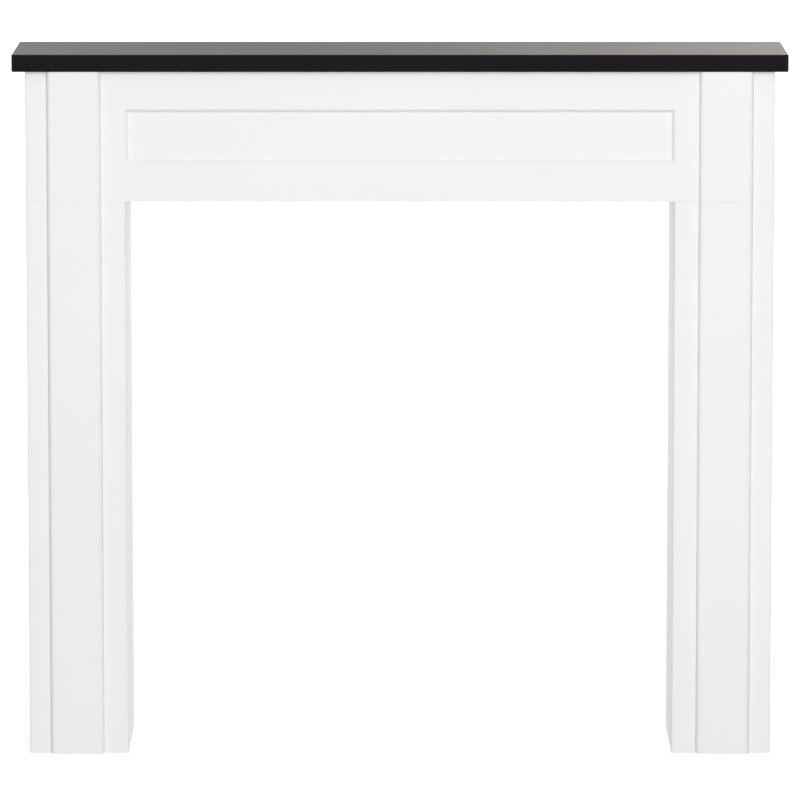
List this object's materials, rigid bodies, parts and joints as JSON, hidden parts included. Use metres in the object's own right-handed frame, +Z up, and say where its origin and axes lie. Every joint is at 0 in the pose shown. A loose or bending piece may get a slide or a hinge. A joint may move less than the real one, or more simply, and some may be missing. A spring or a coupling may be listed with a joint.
{
  "type": "fireplace mantelpiece",
  "caption": "White boxed fire surround with raised pilasters, a sunk header panel and a plain black shelf, standing on the floor against a wall around a fire opening.",
  "frame": {"origin": "on the floor, midway between the shelf's ends and midway between the shelf's front edge and the wall", "axes": "+Z up, +Y towards the wall behind, so the front faces -Y, and +X to the right as seen from the front"},
  "size_m": [0.99, 0.19, 0.906],
  "materials": {
    "white_paint": "satin white paint on MDF",
    "black_lacquer": "satin black lacquer on MDF"
  },
  "bodies": {
    "root": {"shelf": "black_lacquer", "header_front": "white_paint", "header_left_block": "white_paint", "header_right_block": "white_paint", "header_left_return": "white_paint", "header_right_return": "white_paint", "header_soffit": "white_paint", "left_leg_front": "white_paint", "left_leg_pilaster": "white_paint", "left_leg_outer_return": "white_paint", "left_leg_inner_return": "white_paint", "right_leg_front": "white_paint", "right_leg_pilaster": "white_paint", "right_leg_outer_return": "white_paint", "right_leg_inner_return": "white_paint"}
  },
  "joints": []
}
